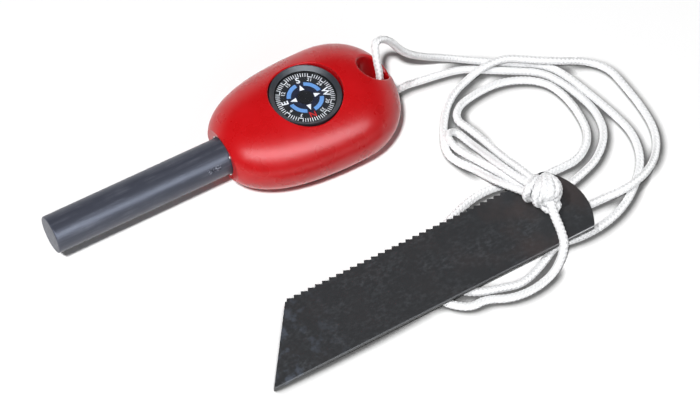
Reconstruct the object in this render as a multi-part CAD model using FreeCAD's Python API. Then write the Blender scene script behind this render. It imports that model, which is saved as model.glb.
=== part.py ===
# A ferro rod fire starter in millimetres: a pebble-shaped handle with a button compass and a rod,
# a saw-backed steel striker, and a thin white lanyard that joins them through one knot.
# Frame: +Z up, the floor at z = 0, the origin on the floor under the compass's axis,
# +X along the handle towards the lanyard hole, so the rod points to -X.
import FreeCAD, Part
import math
import os

Vec = FreeCAD.Vector
ORIGIN = Vec(0, 0, 0)
X_AXIS = Vec(1, 0, 0)
Y_AXIS = Vec(0, 1, 0)
Z_AXIS = Vec(0, 0, 1)

# Driving dimensions of the handle
handle_half_width = 17.5
handle_half_height = 12.5
widest_x = 7.7              # where the outline is widest
nose_x = -25.9              # where the uncut outline would end on the rod's side
tail_x = 26.0
nose_power = 2.64           # squareness of each end of the outline; 2 would be an ellipse
tail_power = 2.24
outline_steps = 10          # spline points on each side of the widest place
mouth_x = -24.2             # flat face that the rod comes out of
foot_cut = 1.0              # depth of the flat that the handle stands on
shell_wall = 2.3
overrun = 5.0               # how far a cutting solid runs past what it cuts

# Driving dimensions of the rod and its seat
rod_radius = 5.0
rod_free_length = 49.3
rod_seat_depth = 25.7
rod_edge = 0.4              # rounding of the rod's ends
glue_thickness = 0.2
glue_setback = 0.5          # the glue ends this far inside the mouth
socket_wall = 1.7
socket_end_wall = 2.0

# Driving dimensions of the lanyard hole
hole_x = 20.3
hole_radius = 4.3
hole_lip = 0.6              # rounding of the hole's rims
hole_tube_wall = 1.5

# Driving dimensions of the compass
well_radius = 9.75
well_floor_z = 17.3
well_wall = 1.4
well_floor_thickness = 0.7
well_lip = 0.3
pad_radius = 7.6
pad_thickness = 0.2
cup_radius = 9.15
cup_wall = 0.75
cup_floor = 0.6
cup_height = 3.2
seal_thickness = 0.2
seal_width = 0.65
lens_thickness = 0.3
lens_side_gap = 0.05
bezel_radius = 9.45
bezel_window_radius = 8.1
bezel_side_gap = 0.05
bezel_skirt = 3.0
bezel_inner_height = 0.05   # height of the bezel's slope above the lens at the window
bezel_outer_height = 0.85   # and at its outer edge
bezel_edge = 0.2            # width of the bezel's narrow top land
card_radius = 7.9
card_thickness = 0.3
lens_gap = 0.15             # between the hub's top and the lens
hub_radius = 2.1
hub_height = 0.15
boss_radius = 1.0
boss_length = 1.3           # of the hub's stem under the card
jewel_radius = 0.65
jewel_length = 0.6
jewel_cone_depth = 0.4
jewel_cone_radius = 0.42
pivot_clearance = 0.08
pivot_radius = 0.3
pivot_cone = 0.35
pivot_base_radius = 1.6
pivot_base_height = 0.3
magnet_length = 11.0
magnet_width = 2.8
magnet_thickness = 0.7
magnet_gap = 0.05           # round the hub's stem

# Driving dimensions of the shells' locating pins
pin_radius = 1.5
pin_height = 3.0            # above the seam
pin_gap = 0.05
pin_end_gap = 0.4
pin_boss_radius = 2.9
pin_near_x = 12.5
pin_near_y = 11.4
pin_far_x = -13.0
pin_far_y = 9.9

# Driving dimensions of the striker, in its own plane: U from the tip corner along its lower edge
blade_length = 94.3         # of the lower edge
blade_width = 20.6
blade_thickness = 1.2
tip_slant = 14.8            # how far the slanted tip end leans back
top_corner_u = 92.4         # where the toothed edge ends
butt_bulge_u = 97.2         # how far the round butt reaches
butt_bulge_v = 9.9
corner_radius = 1.4
ground_edge = 0.25          # bright chamfer along the lower edge
tooth_pitch = 2.05
tooth_depth = 0.8
tooth_steep_angle = 63.0    # of the flank that faces the tip
tooth_count = 36
tooth_start = 0.5           # from the slanted end to the first valley
cord_hole_u = 87.7
cord_hole_v = 12.4
cord_hole_radius = 2.2
tip_x = -43.7
tip_y = -60.3
tip_z = 0.02
blade_yaw = -1.0            # degrees about Z
blade_rise = 2.6            # degrees, from the tip up to the butt

# Driving dimensions of the cord and its knot
cord_radius = 1.0
arc_share = 0.45            # of the shorter run, taken by each arc
knot_core_radius = 3.0
wrap_radius = 1.05
fat_wrap_radius = 1.6

# Sizes that follow
seam_z = handle_half_height - foot_cut
bore_radius = rod_radius + glue_thickness
rod_length = rod_free_length + rod_seat_depth
rod_tip_x = mouth_x - rod_free_length
rod_end_x = mouth_x + rod_seat_depth
socket_radius = bore_radius + socket_wall
hole_tube_radius = hole_radius + hole_tube_wall
cup_floor_z = well_floor_z + pad_thickness
cup_top_z = cup_floor_z + cup_height
lens_z = cup_top_z + seal_thickness
lens_top_z = lens_z + lens_thickness
hub_top_z = lens_z - lens_gap
card_top_z = hub_top_z - hub_height
card_z = card_top_z - card_thickness
stem_end_z = card_z - boss_length
pivot_tip_z = stem_end_z + jewel_cone_depth - pivot_clearance
pivot_base_z = cup_floor_z + cup_floor
bezel_bore_radius = cup_radius + bezel_side_gap

# Cord routes, each from its first end to its last: points on the centreline
# Strand one: out of the handle's hole, round the outer coil, under the striker, round again to the knot
LONG_STRAND = [
    (21.8, -2.2, 11.5), (21.8, -2.2, 16.8), (22.0, 1.2, 22.1), (23.6, 5.0, 24.4), (28.8, 5.6, 20.6),
    (32.6, 4.4, 14.0), (38.4, 4.3, 8.4), (46.4, 3.9, 3.2), (52.8, 1.3, 1.05), (57.7, -2.2, 1.05),
    (63.4, -5.9, 1.05), (69.3, -9.4, 1.05), (73.2, -14.4, 1.05), (75.7, -24.1, 1.05),
    (77.7, -33.2, 1.05), (78.6, -40.4, 1.05), (76.4, -47.7, 1.05), (71.4, -53.3, 1.05),
    (64.2, -58.3, 1.05), (56.1, -60.9, 1.05), (47.3, -61.2, 1.05), (40.8, -59.7, 1.05),
    (34.4, -63.0, 1.05), (26.6, -65.5, 1.05), (21.0, -63.7, 1.05), (15.6, -62.2, 1.05),
    (10.8, -58.8, 1.05), (10.4, -53.0, 1.05), (15.1, -49.0, 1.05), (23.6, -48.8, 1.05),
    (34.5, -50.2, 1.05), (46.0, -53.8, 1.05), (55.0, -54.0, 1.05), (60.1, -54.2, 1.05),
    (64.7, -55.7, 3.4), (72.7, -54.4, 3.4), (80.3, -49.5, 1.05), (84.4, -43.3, 1.05),
    (85.7, -35.0, 1.05), (85.7, -27.0, 1.05), (85.4, -19.9, 1.05), (81.3, -14.7, 1.05),
    (73.7, -12.6, 3.3), (67.2, -8.6, 3.3), (60.9, -4.3, 3.4), (53.5, -4.2, 3.4), (49.1, -4.4, 1.05),
    (43.6, -6.3, 1.05), (38.9, -9.7, 1.05), (34.1, -15.7, 1.05), (31.1, -21.9, 1.05),
    (32.4, -26.1, 1.15), (34.4, -30.9, 2.7), (35.3, -36.6, 5.3), (36.3, -41.5, 8.0),
    (40.1, -47.0, 8.4),
]
# Strand two: out of the same hole's underside, round the inner coil, up through the striker
SHORT_STRAND = [
    (21.8, -2.2, 11.5), (21.8, -2.2, 5.6), (25.6, 0.4, 1.05), (32.0, 2.4, 1.05), (37.7, 1.5, 1.05),
    (43.7, 0.7, 1.05), (49.9, -0.6, 1.05), (55.7, -4.2, 1.05), (62.0, -8.1, 1.05),
    (67.8, -11.7, 1.05), (70.7, -16.1, 1.05), (73.0, -23.0, 1.05), (74.0, -30.0, 1.05),
    (72.2, -37.2, 1.05), (65.7, -42.9, 1.05), (58.7, -45.1, 1.05), (50.2, -47.0, 1.05),
    (44.2, -49.2, 1.6), (44.0, -49.4, 7.6),
]
# Striker loop: from the knot over the striker's face, round underneath it, and back in a coil
LOOP_STRAND = [
    (43.4, -51.4, 8.4), (42.3, -57.8, 8.0), (40.1, -63.4, 6.4), (36.5, -65.9, 1.05),
    (28.7, -68.3, 1.05), (21.5, -67.6, 1.05), (15.9, -64.5, 1.05), (11.0, -64.8, 1.05),
    (5.6, -60.0, 1.05), (4.6, -53.2, 1.05), (7.6, -46.8, 1.05), (14.6, -42.2, 1.05),
    (24.9, -38.4, 1.05), (32.1, -36.9, 1.05), (38.8, -37.7, 1.05), (44.5, -40.6, 1.05),
    (54.0, -40.7, 1.05), (61.3, -40.8, 1.05), (67.9, -36.0, 1.05), (69.7, -27.6, 1.05),
    (69.3, -20.1, 1.05), (67.0, -14.9, 1.05), (61.4, -11.0, 1.05), (54.8, -9.1, 1.05),
    (48.1, -9.4, 1.05), (42.4, -10.5, 1.05), (39.2, -14.0, 1.05), (41.1, -18.6, 1.05),
    (42.0, -24.9, 2.0), (42.3, -32.6, 4.6), (42.7, -39.4, 7.7), (43.5, -45.3, 8.7),
]
# Bight: a short doubled end that comes out of the knot and goes back into it, its near side on strand one
BIGHT_STRAND = [
    (41.4, -46.3, 9.75), (39.0, -40.0, 9.3), (38.3, -33.4, 7.1), (38.1, -27.7, 4.6),
    (38.2, -22.5, 1.8), (37.3, -17.0, 1.05), (33.0, -18.2, 3.9), (33.1, -22.9, 3.5),
    (34.8, -27.0, 3.7), (36.4, -31.2, 4.6), (37.8, -35.6, 5.4), (38.8, -39.4, 6.6),
    (42.0, -46.0, 7.2),
]
# The knot's turns: centre, axis, outer radius and the radius of the cord's bulge
KNOT_WRAPS = [
    ((41.8, -45.9, 8.75), (0.43, -0.90, 0.0), 3.4, wrap_radius),
    ((43.3, -47.5, 9.1), (0.55, -0.83, 0.0), 3.75, wrap_radius),
    ((45.3, -48.8, 9.1), (0.75, -0.66, 0.1), 3.6, fat_wrap_radius),
    ((42.9, -52.2, 8.25), (0.05, -0.97, -0.2), 2.9, wrap_radius),
]
KNOT_CORE = (43.9, -49.8, 8.8)


def half_pebble(half_width, half_height, nose, tail, side):
    """Upper (side 1) or lower (side -1) half of a pebble.

    Its outline is a superellipse on each side of its widest place, drawn as one closed curve so that
    both ends are round. Half of it is turned half round X and flattened to its height.
    """
    points = []
    for step in range(-outline_steps, outline_steps + 1):
        turn = abs(step) / outline_steps * math.pi / 2
        power = nose_power if step < 0 else tail_power
        reach = nose - widest_x if step < 0 else tail - widest_x
        x = widest_x + reach * math.sin(turn) ** (2 / power)
        y = half_width * max(0.0, math.cos(turn)) ** (2 / power)
        points.append(Vec(x, 0 if abs(step) == outline_steps else y, 0))
    mirrored = [Vec(point.x, -point.y, 0) for point in points[-2:0:-1]]
    outline = Part.BSplineCurve()
    outline.interpolate(Points=points + mirrored, PeriodicFlag=True)
    outline.segment(outline.FirstParameter, (outline.FirstParameter + outline.LastParameter) / 2)
    axis_line = Part.LineSegment(outline.EndPoint, outline.StartPoint).toShape()
    face = Part.Face(Part.Wire([outline.toShape(), axis_line]))
    turned = face.revolve(ORIGIN, X_AXIS, side * 180)
    flatten = FreeCAD.Matrix()
    flatten.scale(1, 1, half_height / half_width)
    solid = turned.transformGeometry(flatten)
    solid.translate(Vec(0, 0, seam_z))
    return solid


def post(radius, z_low, z_high, x=0.0, y=0.0):
    """Upright cylinder between two heights."""
    return Part.makeCylinder(radius, z_high - z_low, Vec(x, y, z_low), Z_AXIS)


def ring(outer, inner, z_low, z_high):
    """Flat ring about the compass's axis."""
    return post(outer, z_low, z_high).cut(post(inner, z_low - overrun, z_high + overrun))


def turned_about_z(profile):
    """Solid turned about the compass's axis from a closed list of (radius, height)."""
    corners = [Vec(r, 0, z) for r, z in profile]
    return Part.Face(Part.makePolygon(corners + corners[:1])).revolve(ORIGIN, Z_AXIS, 360)


def pin_places():
    """The shells' four locating pins, in plan."""
    near = [(pin_near_x, side * pin_near_y) for side in (-1, 1)]
    far = [(pin_far_x, side * pin_far_y) for side in (-1, 1)]
    return near + far


def rim_edges(solid, radius, x, z_low):
    """Edges above a height that run round an upright hole on its wall."""
    found = []
    for edge in solid.Edges:
        if edge.Degenerated or edge.BoundBox.ZMin < z_low:
            continue
        points = edge.discretize(9)
        off = max(abs(math.hypot(p.x - x, p.y) - radius) for p in points)
        run = edge.BoundBox.XLength + edge.BoundBox.YLength
        if off < well_lip / 3 and run > radius:
            found.append(edge)
    return found


def handle_shell(side):
    """Upper (side 1) or lower (side -1) shell: a hollow half pebble with the seats it carries."""
    high = seam_z + handle_half_height + overrun
    outer = half_pebble(handle_half_width, handle_half_height, nose_x, tail_x, side)
    if side > 0:
        outer = outer.cut(post(well_radius, well_floor_z, high))
        outer = outer.makeFillet(well_lip, rim_edges(outer, well_radius, 0, well_floor_z + well_lip))
    outer = outer.cut(post(hole_radius, -overrun, high, hole_x))
    rims = [edge for edge in rim_edges(outer, hole_radius, hole_x, -overrun)
            if abs(edge.CenterOfMass.z - seam_z) > shell_wall]
    outer = outer.makeFillet(hole_lip, rims)
    keep = Part.makeBox(2 * (tail_x - mouth_x), 4 * handle_half_width, high,
                        Vec(mouth_x, -2 * handle_half_width, 0))
    outer = outer.common(keep)

    cavity = half_pebble(handle_half_width - shell_wall, handle_half_height - shell_wall,
                         nose_x + shell_wall, tail_x - shell_wall, side)
    seats = [
        Part.makeCylinder(socket_radius, rod_end_x + socket_end_wall - mouth_x + overrun,
                          Vec(mouth_x - overrun, 0, seam_z), X_AXIS),
        post(hole_tube_radius, -overrun, high, hole_x),
    ]
    seats += [post(pin_boss_radius, -overrun, high, x, y) for x, y in pin_places()]
    if side > 0:
        seats.append(post(well_radius + well_wall, well_floor_z - well_floor_thickness, high))
    for seat in seats:
        cavity = cavity.cut(seat)
    shell = outer.cut(cavity)
    bore = Part.makeCylinder(bore_radius, rod_end_x - mouth_x + overrun,
                             Vec(mouth_x - overrun, 0, seam_z), X_AXIS)
    shell = shell.cut(bore)
    for x, y in pin_places():
        if side > 0:
            shell = shell.cut(post(pin_radius + pin_gap, seam_z - overrun,
                                   seam_z + pin_height + pin_end_gap, x, y))
        else:
            shell = shell.fuse(post(pin_radius, seam_z - shell_wall, seam_z + pin_height, x, y))
    return one_solid(shell)


def one_solid(shape):
    """The shape's largest solid."""
    return max(shape.Solids, key=lambda piece: piece.Volume)


def ferro_rod():
    """Plain round rod with slightly rounded ends."""
    rod = Part.makeCylinder(rod_radius, rod_length, Vec(rod_tip_x, 0, seam_z), X_AXIS)
    ends = [edge for edge in rod.Edges if len(edge.Vertexes) == 1]
    return rod.makeFillet(rod_edge, ends)


def rod_adhesive():
    """Thin sleeve of glue between the rod and its socket."""
    start = mouth_x + glue_setback
    outer = Part.makeCylinder(bore_radius, rod_end_x - rod_edge - start, Vec(start, 0, seam_z), X_AXIS)
    return outer.cut(Part.makeCylinder(rod_radius, rod_length, Vec(rod_tip_x, 0, seam_z), X_AXIS))


def compass_cup():
    """Open cup that holds the compass's working pieces."""
    cup = post(cup_radius, cup_floor_z, cup_top_z)
    return cup.cut(post(cup_radius - cup_wall, cup_floor_z + cup_floor, cup_top_z + overrun))


def compass_bezel():
    """Dark ring with a skirt round the cup and a sloping top that holds the lens."""
    window_z = lens_top_z + bezel_inner_height
    edge_z = lens_top_z + bezel_outer_height
    return turned_about_z([
        (bezel_bore_radius, cup_top_z - bezel_skirt), (bezel_radius, cup_top_z - bezel_skirt),
        (bezel_radius, edge_z), (bezel_radius - bezel_edge, edge_z),
        (bezel_window_radius, window_z), (bezel_window_radius, lens_top_z),
        (bezel_bore_radius, lens_top_z),
    ])


def compass_pivot():
    """Round base with an upright needle that the card turns on."""
    neck_z = pivot_tip_z - pivot_cone
    return turned_about_z([
        (0, pivot_base_z), (pivot_base_radius, pivot_base_z),
        (pivot_base_radius, pivot_base_z + pivot_base_height),
        (pivot_radius, pivot_base_z + pivot_base_height), (pivot_radius, neck_z), (0, pivot_tip_z),
    ])


def card_hub():
    """Black cap on the card with a hollow stem through the card and the magnet."""
    cap = post(hub_radius, card_top_z, hub_top_z)
    stem = post(boss_radius, stem_end_z, card_top_z)
    seat = post(jewel_radius, stem_end_z - overrun, stem_end_z + jewel_length)
    return one_solid(cap.fuse(stem).cut(seat))


def card_jewel():
    """Small jewel in the stem, with a cone that sits on the needle."""
    jewel = post(jewel_radius, stem_end_z, stem_end_z + jewel_length)
    cone = Part.makeCone(jewel_cone_radius, 0, jewel_cone_depth, Vec(0, 0, stem_end_z), Z_AXIS)
    return jewel.cut(cone)


def card_magnet():
    """Bar magnet under the card, with a hole for the stem."""
    bar = Part.makeBox(magnet_width, magnet_length, magnet_thickness,
                       Vec(-magnet_width / 2, -magnet_length / 2, card_z - magnet_thickness))
    return bar.cut(post(boss_radius + magnet_gap, card_z - magnet_thickness - overrun, card_top_z))


def tooth_points():
    """Saw teeth along the striker's back, from the tip: a steep rise, then a long fall."""
    rise = tooth_depth / math.tan(math.radians(tooth_steep_angle))
    crest = blade_width
    valley = blade_width - tooth_depth
    lean = tip_slant * valley / blade_width
    points = []
    for tooth in range(tooth_count):
        start = lean + tooth_start + tooth * tooth_pitch
        points.append(Vec(start, valley, 0))
        points.append(Vec(start + rise, crest, 0))
    points.append(Vec(lean + tooth_start + tooth_count * tooth_pitch, valley, 0))
    return points


def blade_placement():
    """Where the striker lies: its tip corner on the floor, its butt raised on the cord."""
    turn = FreeCAD.Rotation(Z_AXIS, blade_yaw) * FreeCAD.Rotation(Y_AXIS, -blade_rise)
    return FreeCAD.Placement(Vec(tip_x, tip_y, tip_z), turn)


def striker():
    """Flat steel striker: slanted tip, saw-toothed back, round butt and a hole for the cord."""
    teeth = tooth_points()
    valley = blade_width - tooth_depth
    tip_top = Vec(tip_slant * valley / blade_width, valley, 0)
    run_out = Vec(teeth[-1].x + tooth_depth, blade_width, 0)
    corner = Vec(top_corner_u - corner_radius, blade_width, 0)
    corner_mid = Vec(top_corner_u - corner_radius * (1 - math.sqrt(0.5)) / 2,
                     blade_width - corner_radius * (1 - math.sqrt(0.5)), 0)
    shoulder = Vec(top_corner_u + corner_radius / 2, blade_width - corner_radius, 0)
    heel = Vec(blade_length, 0, 0)
    outline = [Vec(0, 0, 0), tip_top] + teeth + [run_out, corner]
    edges = [Part.LineSegment(a, b).toShape() for a, b in zip(outline, outline[1:])]
    edges.append(Part.Arc(corner, corner_mid, shoulder).toShape())
    edges.append(Part.Arc(shoulder, Vec(butt_bulge_u, butt_bulge_v, 0), heel).toShape())
    edges.append(Part.LineSegment(heel, outline[0]).toShape())
    blade = Part.Face(Part.Wire(edges)).extrude(Vec(0, 0, blade_thickness))
    blade = blade.cut(Part.makeCylinder(cord_hole_radius, blade_thickness + 2 * overrun,
                                        Vec(cord_hole_u, cord_hole_v, -overrun), Z_AXIS))
    bevel = Part.Face(Part.makePolygon([
        Vec(-overrun, -overrun, blade_thickness + overrun),
        Vec(-overrun, ground_edge + overrun, blade_thickness + overrun),
        Vec(-overrun, -overrun, blade_thickness - ground_edge - overrun),
        Vec(-overrun, -overrun, blade_thickness + overrun),
    ]))
    blade = blade.cut(bevel.extrude(Vec(blade_length + 2 * overrun, 0, 0)))
    blade = one_solid(blade)
    blade.Placement = blade_placement()
    return blade


def cord(name, route):
    """Tube along a route: straight runs joined by the largest arcs that the runs allow."""
    points = [Vec(*place) for place in route]
    edges = []
    radii = []
    start = points[0]
    for before, here, after in zip(points, points[1:], points[2:]):
        back = before - here
        ahead = after - here
        cut = arc_share * min(back.Length, ahead.Length)
        half_turn = (math.pi - back.getAngle(ahead)) / 2
        radius = cut / math.tan(half_turn)
        radii.append(radius)
        back.normalize()
        ahead.normalize()
        arc_in = here + back * cut
        arc_out = here + ahead * cut
        inward = back + ahead
        inward.normalize()
        middle = here + inward * (radius / math.cos(half_turn) - radius)
        edges.append(Part.LineSegment(start, arc_in).toShape())
        edges.append(Part.Arc(arc_in, middle, arc_out).toShape())
        start = arc_out
    edges.append(Part.LineSegment(start, points[-1]).toShape())
    path = Part.Wire(edges)
    first = points[1] - points[0]
    section = Part.Wire(Part.makeCircle(cord_radius, points[0], first))
    tube = path.makePipeShell([section], True, False)
    ideal = math.pi * cord_radius ** 2 * path.Length
    print("%s: %.0f mm long, volume %.4f of section times length, %d arcs, tightest radii %s" % (
        name, path.Length, tube.Volume / ideal, len(radii),
        ", ".join("%.1f" % radius for radius in sorted(radii)[:5])))
    return tube


def knot():
    """The knot as one solid: four turns of cord side by side round a core."""
    solid = Part.makeSphere(knot_core_radius, Vec(*KNOT_CORE))
    for centre, axis, outer, bulge in KNOT_WRAPS:
        middle = Vec(bulge, outer - bulge, 0)
        profile = Part.Wire([
            Part.LineSegment(Vec(-bulge, 0, 0), Vec(-bulge, middle.y, 0)).toShape(),
            Part.Arc(Vec(-bulge, middle.y, 0), Vec(0, outer, 0), middle).toShape(),
            Part.LineSegment(middle, Vec(bulge, 0, 0)).toShape(),
            Part.LineSegment(Vec(bulge, 0, 0), Vec(-bulge, 0, 0)).toShape(),
        ])
        turn = Part.Face(profile).revolve(ORIGIN, X_AXIS, 360)
        turn.Placement = FreeCAD.Placement(Vec(*centre), FreeCAD.Rotation(X_AXIS, Vec(*axis)))
        solid = solid.fuse(turn)
    return one_solid(solid)


def build():
    """Every separate piece, by the name of its file."""
    tied = knot()
    pieces = {
        "handle_upper_shell": handle_shell(1),
        "handle_lower_shell": handle_shell(-1),
        "ferro_rod": ferro_rod(),
        "rod_adhesive": rod_adhesive(),
        "compass_pad": post(pad_radius, well_floor_z, cup_floor_z),
        "compass_cup": compass_cup(),
        "compass_seal": ring(cup_radius, cup_radius - seal_width, cup_top_z, lens_z),
        "compass_lens": post(cup_radius - lens_side_gap, lens_z, lens_top_z),
        "compass_bezel": compass_bezel(),
        "compass_pivot": compass_pivot(),
        "compass_card": ring(card_radius, boss_radius, card_z, card_top_z),
        "card_hub": card_hub(),
        "card_jewel": card_jewel(),
        "card_magnet": card_magnet(),
        "striker": striker(),
        "lanyard_knot": tied,
    }
    strands = {
        "lanyard_strand_long": LONG_STRAND,
        "lanyard_strand_short": SHORT_STRAND,
        "lanyard_striker_loop": LOOP_STRAND,
        "lanyard_bight": BIGHT_STRAND,
    }
    for name, route in strands.items():
        pieces[name] = one_solid(cord(name, route).cut(tied))
    return pieces


os.makedirs("parts", exist_ok=True)
for node, piece in build().items():
    piece.exportStep("parts/%s.step" % node)
    print("%-22s %9.2f mm3 %s" % (node, piece.Volume, "valid" if piece.isValid() else "NOT VALID"))
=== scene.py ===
# %% [markdown]
# # A fire starter with a compass, a rod, a striker and a lanyard
# The real object is a red plastic handle that is moulded round a button compass, with a grey sparking rod
# glued into its nose. A thin white cord runs through a hole in the tail and ties a saw-backed steel
# striker to it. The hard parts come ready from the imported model, in metres, with the floor at height 0.
# This lesson gives them their finishes, prints the dial, and braids the cord and its knot.

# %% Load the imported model
import math

import bmesh
import bpy
from mathutils import Matrix, Quaternion, Vector, noise


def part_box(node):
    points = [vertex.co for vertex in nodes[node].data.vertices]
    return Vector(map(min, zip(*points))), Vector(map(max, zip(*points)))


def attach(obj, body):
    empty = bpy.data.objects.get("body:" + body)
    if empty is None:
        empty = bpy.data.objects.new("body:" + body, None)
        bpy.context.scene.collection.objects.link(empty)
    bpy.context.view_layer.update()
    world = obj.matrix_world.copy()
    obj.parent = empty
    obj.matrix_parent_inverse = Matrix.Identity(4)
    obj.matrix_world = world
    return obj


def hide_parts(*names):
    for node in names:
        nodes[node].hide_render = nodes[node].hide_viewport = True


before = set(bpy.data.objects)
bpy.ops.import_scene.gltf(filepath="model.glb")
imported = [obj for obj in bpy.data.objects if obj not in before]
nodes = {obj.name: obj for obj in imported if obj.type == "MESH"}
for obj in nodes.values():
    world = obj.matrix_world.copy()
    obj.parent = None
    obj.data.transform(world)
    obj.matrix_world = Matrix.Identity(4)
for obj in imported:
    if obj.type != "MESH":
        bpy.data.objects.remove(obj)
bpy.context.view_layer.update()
scene = bpy.context.scene
scene.view_settings.view_transform = "Standard"
MM = 0.001

# %% [markdown]
# ## The camera
# The product shot was taken with a long lens from well above, turned a little to the left of the handle's
# middle and tilted by a few degrees. A camera can be aimed with a constraint, but a matrix from its own
# right, up and back directions is as short, and it holds the small roll as well.

# %% Directions round the object
CAMERA_AZIMUTH, CAMERA_ELEVATION, CAMERA_ROLL = -35.96, 56.88, 5.65


def direction(azimuth, elevation):
    """Unit vector from the object towards a place round it, with both angles in degrees."""
    a, e = math.radians(azimuth), math.radians(elevation)
    return Vector((math.sin(a) * math.cos(e), -math.cos(a) * math.cos(e), math.sin(e)))


back = direction(CAMERA_AZIMUTH, CAMERA_ELEVATION)
level_right = direction(CAMERA_AZIMUTH + 90, 0)
level_up = back.cross(level_right)
roll = math.radians(CAMERA_ROLL)
right = level_right * math.cos(roll) + level_up * math.sin(roll)
up = level_up * math.cos(roll) - level_right * math.sin(roll)
upper_left = (up - right).normalized()
print("the camera looks from", [round(c, 3) for c in back])

# %% Camera
CAMERA_DISTANCE = 560
CAMERA_LOOKS_AT = Vector((1.06, -22.56, 0)) * MM


def linked(name, data):
    """A new object in the scene that holds a camera, a lamp or a mesh."""
    holder = bpy.data.objects.new(name, data)
    scene.collection.objects.link(holder)
    return holder


eye = CAMERA_LOOKS_AT + back * CAMERA_DISTANCE * MM
camera_data = bpy.data.cameras.new("product camera")
camera_data.lens = 110.67
camera_data.sensor_width = 36
camera_data.clip_start = 0.02
camera_data.clip_end = 20
camera = linked("product camera", camera_data)
camera.matrix_world = Matrix.Translation(eye) @ Matrix((right, up, back)).transposed().to_4x4()
scene.camera = camera
print("camera stands", round(eye.length * 1000), "mm from the origin")

# %% [markdown]
# ## Finding a node quickly
# Every material below is a small tree of nodes. Written out, each node takes a line to add it and a line
# for every socket, so a few helpers keep the cells short. One makes a material with its Principled shader,
# one adds a node with its settings, and the rest are the few kinds of node that come back often.

# %% Materials and nodes
def new_material(name, **inputs):
    """A material with only a Principled shader, whose inputs are set by name."""
    material = bpy.data.materials.new(name)
    material.use_nodes = True
    shader = material.node_tree.nodes["Principled BSDF"]
    for key, value in inputs.items():
        shader.inputs[key.replace("_", " ")].default_value = value
    return material, material.node_tree, shader


def feed(tree, value, socket):
    """Links a socket to an input, or sets a plain value on it."""
    if isinstance(value, bpy.types.NodeSocket):
        tree.links.new(value, socket)
    else:
        socket.default_value = value


def add(tree, kind, settings=None, **inputs):
    """A new node of that kind with its settings, its inputs set or linked by name."""
    node = tree.nodes.new(kind)
    for key, value in (settings or {}).items():
        setattr(node, key, value)
    for key, value in inputs.items():
        feed(tree, value, node.inputs[key.replace("_", " ")])
    return node


# %% Sums, products and vectors
def sums(tree, operation, *values):
    """One Math node's result."""
    node = add(tree, "ShaderNodeMath", {"operation": operation})
    for value, socket in zip(values, node.inputs):
        feed(tree, value, socket)
    return node.outputs[0]


def product(tree, first, *others):
    """Several values multiplied."""
    for value in others:
        first = sums(tree, "MULTIPLY", first, value)
    return first


def vector_math(tree, operation, *values):
    """One Vector Math node's result."""
    node = add(tree, "ShaderNodeVectorMath", {"operation": operation})
    places = [node.inputs[0], node.inputs["Scale"]] if operation == "SCALE" else node.inputs
    for value, socket in zip(values, places):
        feed(tree, value, socket)
    return node.outputs["Value" if operation in ("LENGTH", "DOT_PRODUCT") else "Vector"]


# %% Ranges
def ranged(tree, value, low, high, start=0.0, end=1.0):
    """A value spread from one range to another."""
    node = add(tree, "ShaderNodeMapRange", Value=value, From_Min=low, From_Max=high, To_Min=start,
               To_Max=end)
    return node.outputs[0]


def between(tree, value, low, high, border):
    """1 between two limits and 0 outside, with a soft border inside each."""
    return product(tree, ranged(tree, value, low, low + border), ranged(tree, value, high, high - border))


# %% Colours
def srgb(red, green, blue):
    """A colour as it is read off a screen, from 0 to 255, in the linear values that a shader takes."""
    shares = [level / 255 for level in (red, green, blue)]
    linear = [s / 12.92 if s <= 0.04045 else ((s + 0.055) / 1.055) ** 2.4 for s in shares]
    return (*linear, 1.0)


def mixed(tree, amount, first, second):
    """A colour between two others."""
    node = add(tree, "ShaderNodeMix", {"data_type": "RGBA"})
    for value, socket in zip((amount, first, second), (node.inputs[0], node.inputs[6], node.inputs[7])):
        feed(tree, value, socket)
    return node.outputs[2]


# %% [markdown]
# ## White all round
# The picture has a white background in an otherwise dim room. A panorama of a studio could stand for that,
# but a few nodes do: the sky is plain white to the camera, and to mirrors and glass it shows a white sweep,
# low down on the far side. It lights the object only faintly, because the lamps do that.

# %% Kinds of ray
def light_path(tree, kind):
    """1 for rays of one kind, such as those from the camera, and 0 for the rest."""
    return add(tree, "ShaderNodeLightPath").outputs["Is %s Ray" % kind]


def seen_directly(tree):
    """1 for rays from the camera, a mirror or through glass, and 0 for the rest."""
    mirror = sums(tree, "MAXIMUM", light_path(tree, "Glossy"), light_path(tree, "Transmission"))
    return sums(tree, "MAXIMUM", light_path(tree, "Camera"), mirror)


# %% Sky
AMBIENT_LEVEL, ROOM_LEVEL = 0.05, 0.10
SWEEP_HEIGHTS, SWEEP_DEPTHS = (0.1, 0.5), (-0.1, 0.2)

world = bpy.data.worlds.new("white studio")
world.use_nodes = True
scene.world = world
sky = world.node_tree
towards = add(sky, "ShaderNodeTexCoord").outputs["Generated"]
skyward = add(sky, "ShaderNodeSeparateXYZ", Vector=towards).outputs["Z"]
far_off = vector_math(sky, "DOT_PRODUCT", towards, (-back.x, -back.y, 0))
sweep = product(sky, ranged(sky, skyward, *SWEEP_HEIGHTS, 1.0, 0.0), ranged(sky, far_off, *SWEEP_DEPTHS))
mirrored = sums(sky, "MAXIMUM", sweep, ROOM_LEVEL)
seen = sums(sky, "MAXIMUM", mirrored, light_path(sky, "Camera"))
direct = seen_directly(sky)
ambient = product(sky, sums(sky, "SUBTRACT", 1.0, direct), AMBIENT_LEVEL)
strength = sums(sky, "ADD", ambient, product(sky, direct, seen))
background = sky.nodes["Background"]
background.inputs["Color"].default_value = (1, 1, 1, 1)
sky.links.new(strength, background.inputs["Strength"])
print("the sky lights the object at", AMBIENT_LEVEL, "of full white")

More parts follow.
